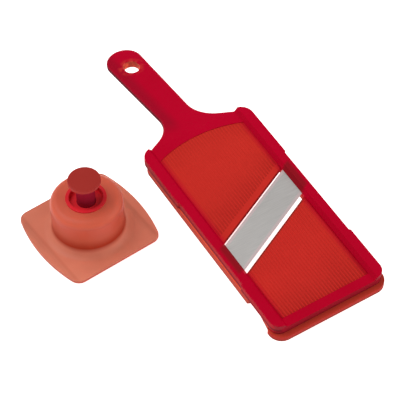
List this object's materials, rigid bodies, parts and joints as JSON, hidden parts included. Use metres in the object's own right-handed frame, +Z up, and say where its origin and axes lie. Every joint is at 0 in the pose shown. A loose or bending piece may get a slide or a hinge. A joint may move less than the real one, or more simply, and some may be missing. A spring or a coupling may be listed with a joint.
{
  "type": "mandoline slicer",
  "caption": "Hand-held vegetable slicer with a slanted blade across a ribbed channel, a drooping handle, a clip-on lower frame and a separate food guard with a push-down plunger.",
  "frame": {"origin": "on the ground under the middle of the slicer's front foot", "axes": "+Z up, +Y along the slicer from its front edge to its handle, +X to the right; the guard stands on the -X side"},
  "size_m": [0.1948, 0.304, 0.057],
  "materials": {
    "crimson_plastic": "clear crimson moulding, polished",
    "ribbed_plastic": "clear red moulding with fine long ribs",
    "blade_steel": "ground flat stainless steel",
    "fastener_steel": "plain stainless steel",
    "orange_plastic": "clear orange-red moulding",
    "frosted_plastic": "frosted orange-red moulding",
    "knob_plastic": "satin dull red moulding",
    "foot_rubber": "soft dark red rubber"
  },
  "bodies": {
    "slicer": {"upper_frame": "crimson_plastic", "upper_panel": "ribbed_plastic", "lower_panel": "ribbed_plastic", "blade": "blade_steel", "blade_clamp_left": "crimson_plastic", "blade_clamp_right": "crimson_plastic", "blade_screws": "fastener_steel", "handle_cover": "crimson_plastic", "cover_screws": "fastener_steel", "handle_foot": "foot_rubber"},
    "lower_frame": {"lower_frame": "orange_plastic", "front_foot": "foot_rubber"},
    "guard": {"guard_shell": "frosted_plastic", "guard_collar": "crimson_plastic", "friction_ring": "foot_rubber"},
    "plunger": {"plunger_stem": "crimson_plastic", "plunger_knob": "knob_plastic", "pusher_plate": "frosted_plastic", "food_pins": "fastener_steel", "plunger_screw": "fastener_steel"}
  },
  "joints": [
    {"name": "lower_frame_release", "type": "slide", "parent": "slicer", "child": "lower_frame", "axis": [0, 0.0581, -0.9983], "range_m": [0, 0.02]},
    {"name": "guard_lift", "type": "slide", "parent": "slicer", "child": "guard", "axis": [0, 0, 1], "range_m": [0, 0.06]},
    {"name": "plunger_press", "type": "slide", "parent": "guard", "child": "plunger", "axis": [0, 0, -1], "range_m": [0, 0.016]}
  ]
}
